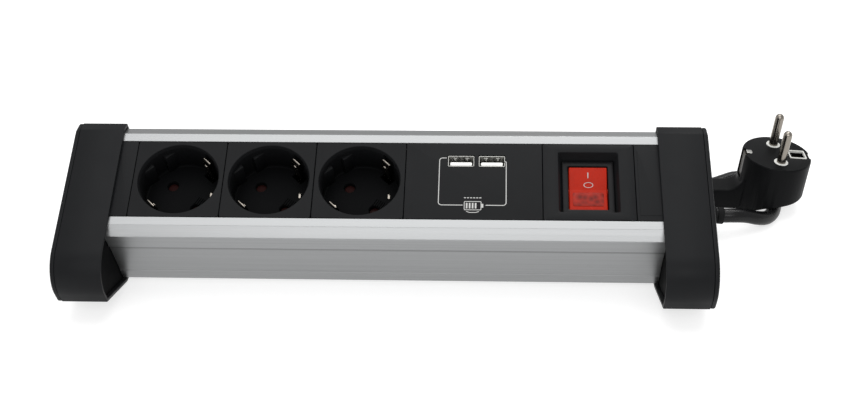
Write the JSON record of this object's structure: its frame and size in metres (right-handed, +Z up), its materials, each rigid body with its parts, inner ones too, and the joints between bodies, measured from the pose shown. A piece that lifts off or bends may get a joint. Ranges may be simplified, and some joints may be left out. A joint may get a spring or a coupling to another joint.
{
  "type": "desk power strip",
  "caption": "Sloping desktop mains strip: aluminium channel with round recessed sockets, USB charger and red rocker switch between black end caps, with cord and angled plug.",
  "frame": {"origin": "on the desk under the middle of the strip's own box, without the cord and plug", "axes": "+X along the strip towards the cord end, +Y towards the back, +Z up"},
  "size_m": [0.3844, 0.1771, 0.0711],
  "materials": {
    "aluminium": "fine satin anodised, extruded along its length",
    "black_plastic": "fine moulded texture",
    "dark_plastic": "smooth moulded",
    "white_plastic": "smooth moulded",
    "rubber": "matt",
    "steel": "zinc plated",
    "nickel": "nickel plated",
    "brass": "stamped",
    "red_plastic": "clear red, lit from inside",
    "shutter_plastic": "smooth moulded",
    "circuit_board": "glass fibre board",
    "live_insulation": "PVC",
    "neutral_insulation": "PVC",
    "earth_insulation": "PVC, green and yellow",
    "cord_jacket": "smooth PVC"
  },
  "bodies": {
    "root": {"trunking_profile": "aluminium", "end_cap_left": "black_plastic", "cap_cover_left": "black_plastic", "cap_screw_left_1": "steel", "cap_screw_left_2": "steel", "end_cap_right": "black_plastic", "cap_cover_right": "black_plastic", "cap_screw_right_1": "steel", "cap_screw_right_2": "steel", "blank_left": "black_plastic", "blank_right": "black_plastic", "socket_insert_1": "black_plastic", "earth_clip_1": "nickel", "live_contact_1": "brass", "neutral_contact_1": "brass", "socket_insert_2": "black_plastic", "earth_clip_2": "nickel", "live_contact_2": "brass", "neutral_contact_2": "brass", "socket_insert_3": "black_plastic", "earth_clip_3": "nickel", "live_contact_3": "brass", "neutral_contact_3": "brass", "live_rail": "brass", "neutral_rail": "brass", "earth_rail": "brass", "usb_plate": "black_plastic", "usb_board": "circuit_board", "charger_transformer": "white_plastic", "usb_shell_1": "nickel", "usb_tongue_1": "white_plastic", "usb_shell_2": "nickel", "usb_tongue_2": "white_plastic", "switch_plate": "black_plastic", "switch_body": "dark_plastic", "switch_lamp": "white_plastic", "switch_terminal_1": "brass", "switch_terminal_2": "brass", "cable_gland": "rubber", "neutral_wire": "neutral_insulation", "live_wire": "live_insulation", "earth_wire": "earth_insulation", "foot_left_front": "rubber", "foot_left_rear": "rubber", "foot_right_front": "rubber", "foot_right_rear": "rubber", "cord_clamp": "dark_plastic", "cord_from_strip": "cord_jacket", "cord_to_plug": "cord_jacket", "cord_hank": "cord_jacket", "cord_tie": "dark_plastic", "plug_body": "black_plastic", "plug_insert": "white_plastic", "plug_earth_contact": "nickel", "plug_pin_1": "nickel", "plug_pin_2": "nickel"},
    "rocker": {"switch_rocker": "red_plastic"},
    "shutter_1": {"socket_shutter_1": "shutter_plastic"},
    "shutter_2": {"socket_shutter_2": "shutter_plastic"},
    "shutter_3": {"socket_shutter_3": "shutter_plastic"}
  },
  "joints": [
    {"name": "rocker_tilt", "type": "hinge", "parent": "root", "child": "rocker", "pos_m": [0.09985, 0.0003, 0.04921], "axis": [1, 0, 0], "range_deg": [-12, 0]},
    {"name": "shutter_1_turn", "type": "hinge", "parent": "root", "child": "shutter_1", "pos_m": [-0.10385, 0.00564, 0.03846], "axis": [0, -0.4226, 0.9063], "range_deg": [0, 42], "stiffness_Nm_per_rad": 0.01},
    {"name": "shutter_2_turn", "type": "hinge", "parent": "root", "child": "shutter_2", "pos_m": [-0.05855, 0.00564, 0.03846], "axis": [0, -0.4226, 0.9063], "range_deg": [0, 42], "stiffness_Nm_per_rad": 0.01},
    {"name": "shutter_3_turn", "type": "hinge", "parent": "root", "child": "shutter_3", "pos_m": [-0.01325, 0.00564, 0.03846], "axis": [0, -0.4226, 0.9063], "range_deg": [0, 42], "stiffness_Nm_per_rad": 0.01}
  ]
}
